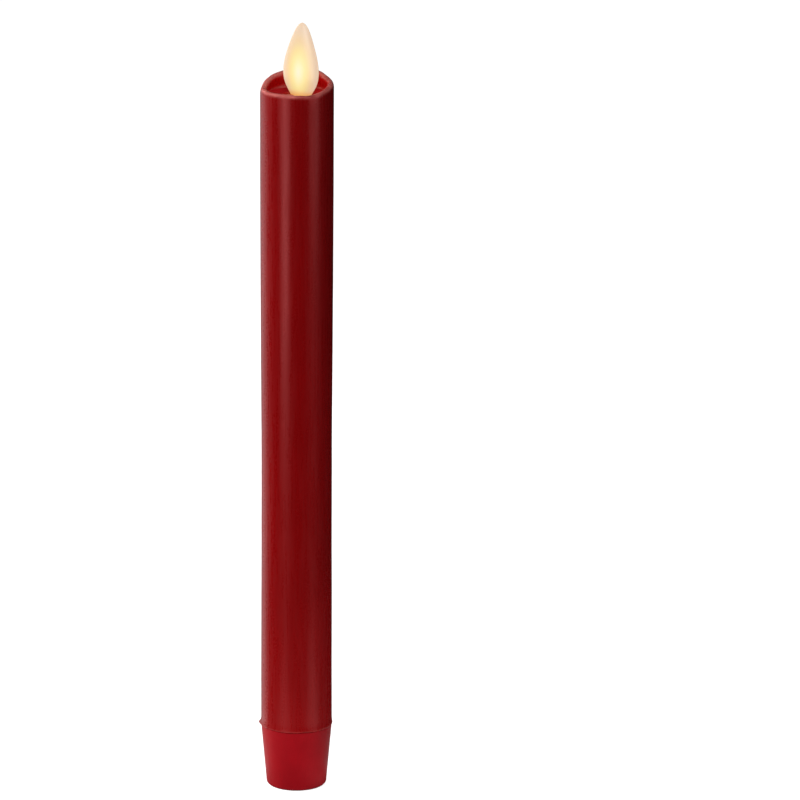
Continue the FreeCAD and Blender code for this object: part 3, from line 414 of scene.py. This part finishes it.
LIP_UNEVEN = 0.12 * MM
LIP_ROUNDNESS = 0.85              # 1 makes the lip an ellipse, less makes it squarer
INSERT_SEAT = 1.6 * MM            # from the foot of the bowl insert up to where it sits on the tube
BURR_ANGLE = math.radians(210)    # where a flake of wax stands out at the lower edge
BURR_SPREAD = math.radians(15)
BURR_REACH = 0.6 * MM
BURR_HEIGHT = 1.6 * MM
RIM_DRIPS = [                     # angle, spread and height of the softer changes of the melted rim
    (math.radians(160), math.radians(24), 0.6 * MM),
    (math.radians(207), math.radians(15), -0.9 * MM),
]


def crest_heights(sleeve, radius):
    """Height of the rim's crest at each angle: the CAD one, seen straight down, and the drips."""
    corners = [vertex.co for vertex in sleeve.data.vertices]
    tree = BVHTree.FromPolygons(corners, [polygon.vertices[:] for polygon in sleeve.data.polygons])
    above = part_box("wax_sleeve")[1].z + 10 * MM
    heights = []
    for i in range(COAT_ANGLES):
        angle = 2 * math.pi * i / COAT_ANGLES
        start = Vector((radius * math.cos(angle), radius * math.sin(angle), above))
        height = tree.ray_cast(start, Vector((0, 0, -1)))[0].z
        for middle, spread, rise in RIM_DRIPS:
            height += rise * math.exp(-(math.remainder(angle - middle, 2 * math.pi) / spread) ** 2)
        heights.append(height)
    return heights


def noise_round(angle, radius, z):
    """Smooth noise from about -1 to 1 on a cylinder. A larger radius gives more rises and dips round it."""
    return noise.noise(Vector((radius * math.cos(angle), radius * math.sin(angle), z)))


class CoatOutline:
    """The section of the wax, as one closed column of points at each angle round the candle."""

    def __init__(self):
        self.low, self.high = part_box("wax_sleeve")
        self.insert_low, self.insert_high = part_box("bowl_insert")
        self.outer = self.high.x
        self.bowl = self.insert_high.x + FIT
        self.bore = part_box("core_tube")[1].x + FIT
        self.step_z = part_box("core_tube")[1].z
        self.middle, self.half = (self.outer + self.bowl) / 2, (self.outer - self.bowl) / 2
        self.crests = crest_heights(nodes["wax_sleeve"], self.middle)
        self.rings = round((min(self.crests) - LIP_DROP - self.low.z) / RING_STEP)

    def wall_radius(self, angle, z):
        rise = z - self.low.z
        along = rise / (self.high.z - self.low.z)
        seed = Vector((SWELL_ROUND * math.cos(angle), SWELL_ROUND * math.sin(angle), z / SWELL_LENGTH))
        swell = UNEVEN * (0.5 - 0.5 * noise.noise(seed))
        swell += UNEVEN_FINE * (0.5 - 0.5 * noise.noise(seed * SWELL_FINER))
        waist = WAIST * math.sin(math.pi * min(along * 1.25, 1.0)) ** 2 + TAPER * (1 - along)
        flare = max(0.0, 1 - rise / FLARE_HEIGHT) ** 2
        off = math.remainder(angle - BURR_ANGLE, 2 * math.pi) / BURR_SPREAD
        burr = BURR_REACH * math.exp(-off * off) * max(0.0, 1 - rise / BURR_HEIGHT) ** 2.5
        return self.outer - (swell + waist + SKIN) * (1 - flare) + burr

    def foot(self, angle, foot_z):
        """From the top of the inner bore down to the rounded lower edge."""
        hem = self.wall_radius(angle, foot_z)
        return [(self.bore, self.step_z), (self.bore, foot_z + 0.1 * MM), (self.bore + 0.15 * MM, foot_z),
                (hem - 0.25 * MM, foot_z), (hem - 0.03 * MM, foot_z + 0.02 * MM)]

    def wall(self, angle, foot_z, shoulder):
        first = foot_z + EDGE_ROUND
        heights = [first + (shoulder - foot_z - EDGE_ROUND) * (ring / self.rings) ** RING_CROWDING
                   for ring in range(self.rings + 1)]
        return [(self.wall_radius(angle, z), z) for z in heights]

    def lip(self, angle, shoulder, last):
        """Over the rim, from the last radius of the wall to just short of the bowl."""
        height = LIP_DROP + LIP_UNEVEN * noise_round(angle, 5, 1.7)
        points = []
        for step in range(1, LIP_STEPS):
            turn = math.pi * step / LIP_STEPS
            side = math.cos(turn)
            reach = (last - self.middle) if side > 0 else self.half
            bulge = math.copysign(abs(side) ** LIP_ROUNDNESS, side)
            rise = height * math.sin(turn) ** LIP_ROUNDNESS
            points.append((self.middle + reach * bulge, shoulder + rise))
        return points

    def bowl_wall(self, shoulder):
        """Down to the insert's seat, where the step starts too: the doubled ring keeps that corner sharp."""
        halfway = (shoulder + self.insert_high.z) / 2
        return [(self.bowl, z) for z in (shoulder, halfway, self.insert_low.z + INSERT_SEAT, self.step_z)]

    def column(self, i):
        angle = 2 * math.pi * i / COAT_ANGLES
        foot_z = self.low.z + RAGGED * max(0.0, noise_round(angle, 3, 7.3))
        shoulder = self.crests[i] - LIP_DROP
        wall = self.wall(angle, foot_z, shoulder)
        lip = self.lip(angle, shoulder, wall[-1][0])
        points = self.foot(angle, foot_z) + wall + lip + self.bowl_wall(shoulder)
        return [(r * math.cos(angle), r * math.sin(angle), z) for r, z in points]


def wax_coat():
    """The coat as one closed mesh that stands for the CAD sleeve and rides with the candle."""
    outline = CoatOutline()
    columns = [outline.column(i) for i in range(COAT_ANGLES)]
    size = len(columns[0])
    faces = []
    for i in range(COAT_ANGLES):
        beside = (i + 1) % COAT_ANGLES
        for k in range(size):
            over = (k + 1) % size
            faces.append((i * size + k, beside * size + k, beside * size + over, i * size + over))
    mesh = bpy.data.meshes.new("wax_coat")
    mesh.from_pydata([point for column in columns for point in column], [], faces)
    mesh.materials.append(wax_paint().material)
    for polygon in mesh.polygons:
        polygon.use_smooth = True
    coat = place("wax_coat", mesh)
    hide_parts("wax_sleeve")
    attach(coat, "candle_body")


# ---------------------------------------------------------------- stage
FLOOR_REACH = 6.0
LIGHT_AIM = Vector((0, 0, 0.12))    # the soft lights all face this point, half way up the candle
STRIP_HEIGHT = 0.4 * MM             # the bright strips lie this far above the table


def direction(aside):
    """Level direction from the candle, that many degrees to the right of the camera as the camera sees it."""
    angle = math.radians(CAMERA_AZIMUTH + aside)
    return Vector((math.sin(angle), -math.cos(angle), 0))


def camera():
    lens = bpy.data.cameras.new("camera")
    lens.lens, lens.sensor_width = CAMERA_LENS_MM, CAMERA_SENSOR_MM
    lens.clip_start, lens.clip_end = CAMERA_CLIP
    made = place("camera", lens)
    elevation = math.radians(CAMERA_ELEVATION)
    back = direction(0) * math.cos(elevation) + Vector((0, 0, math.sin(elevation)))
    aim = direction(90) * AIM_ASIDE + Vector((0, 0, AIM_HEIGHT))
    made.location = aim + back * CAMERA_DISTANCE
    turn = (-back).to_track_quat("-Z", "Y").to_matrix().to_4x4()
    made.rotation_euler = (turn @ Matrix.Rotation(math.radians(CAMERA_ROLL), 4, "Z")).to_euler()
    bpy.context.scene.camera = made


def area_light(name, width, height, radiance, glossy, diffuse):
    light = bpy.data.lights.new(name, "AREA")
    light.shape = "RECTANGLE"
    light.size, light.size_y = width, height
    light.energy = radiance * math.pi * width * height
    made = place(name, light)
    made.visible_camera = False
    made.visible_glossy = glossy
    made.visible_diffuse = diffuse
    return made


def softbox(name, aside, distance, z, width, height, radiance, glossy=True, diffuse=True):
    """A soft light that faces the candle. Aside is its place in degrees to the camera's right."""
    made = area_light(name, width, height, radiance, glossy, diffuse)
    made.location = direction(aside) * distance + Vector((0, 0, z))
    made.rotation_euler = (LIGHT_AIM - made.location).to_track_quat("-Z", "Y").to_euler()


def reflector(name, aside, near, far, width, radiance, glossy=True, diffuse=True):
    """A bright strip that lies on the table, pointing away from the candle."""
    made = area_light(name, width, far - near, radiance, glossy, diffuse)
    made.location = direction(aside) * (near + far) / 2 + Vector((0, 0, STRIP_HEIGHT))
    made.rotation_euler = (math.pi, 0, math.radians(CAMERA_AZIMUTH + aside))


def floor():
    """A white table top. It takes the candle's shadow but throws no light back on it."""
    corners = [(x * FLOOR_REACH, y * FLOOR_REACH, 0) for x, y in ((-1, -1), (1, -1), (1, 1), (-1, 1))]
    mesh = bpy.data.meshes.new("floor")
    mesh.from_pydata(corners, [], [(0, 1, 2, 3)])
    paint = Paint("pale_floor", (0.9, 0.9, 0.9), 0.9, Emission_Strength=0.88)
    paint.shader.inputs["Emission Color"].default_value = (1, 1, 1, 1)
    paint.set("Base Color", paint.mix(paint.noise(3, 2), (0.60, 0.60, 0.60), (0.58, 0.58, 0.58)))
    mesh.materials.append(paint.material)
    made = place("floor", mesh)
    made.visible_glossy = False
    made.visible_diffuse = False


def surroundings(seen, soft, glint):
    """A white room for the eye, an even dim light on the candle, and little for its gloss to reflect."""
    world = bpy.data.worlds.new("studio")
    world.use_nodes = True
    tree = world.node_tree
    tree.nodes.clear()
    paths = tree.nodes.new("ShaderNodeLightPath")
    gloss = tree.nodes.new("ShaderNodeMapRange")
    gloss.inputs["To Min"].default_value = soft
    gloss.inputs["To Max"].default_value = glint
    strength = tree.nodes.new("ShaderNodeMapRange")
    strength.inputs["To Max"].default_value = seen
    background = tree.nodes.new("ShaderNodeBackground")
    background.inputs["Color"].default_value = (1, 1, 1, 1)
    output = tree.nodes.new("ShaderNodeOutputWorld")
    tree.links.new(paths.outputs["Is Glossy Ray"], gloss.inputs["Value"])
    tree.links.new(gloss.outputs["Result"], strength.inputs["To Min"])
    tree.links.new(paths.outputs["Is Camera Ray"], strength.inputs["Value"])
    tree.links.new(strength.outputs["Result"], background.inputs["Strength"])
    tree.links.new(background.outputs[0], output.inputs[0])
    bpy.context.scene.world = world


def studio():
    camera()
    floor()
    surroundings(seen=1.0, soft=0.20, glint=0.005)
    # name, degrees aside, distance, z, width, height, radiance
    softbox("card_left", -36.5, 0.36, 0.21, 0.165, 0.38, 3.6)
    softbox("card_right", 55.5, 0.62, 0.265, 0.36, 0.44, 2.2, diffuse=False)
    softbox("rim_left", -131, 0.45, 0.12, 0.36, 0.6, 0.80)
    softbox("key_left", -108, 0.9, 0.20, 0.7, 0.9, 6.2, glossy=False)
    softbox("top", 10, 0.9, 1.3, 1.2, 1.2, 2.0)
    # name, degrees aside, near end, far end, width, radiance
    reflector("table_left", -37, 0.03, 0.15, 0.045, 0.9)
    reflector("table_right", 52, 0.03, 0.18, 0.05, 0.9)
    reflector("base_left", -150, 0.012, 0.060, 0.08, 1.1)
    reflector("base_right", 160, 0.012, 0.050, 0.06, 1.0)
    reflector("table_glow", 0, -0.15, 0.15, 0.30, 1.1, glossy=False)
    reflector("glow_right", 62, 0.0115, 0.030, 0.04, 1.2, glossy=False)
    bpy.context.scene.view_settings.view_transform = "Standard"


dress_nodes()
wax_coat()
studio()
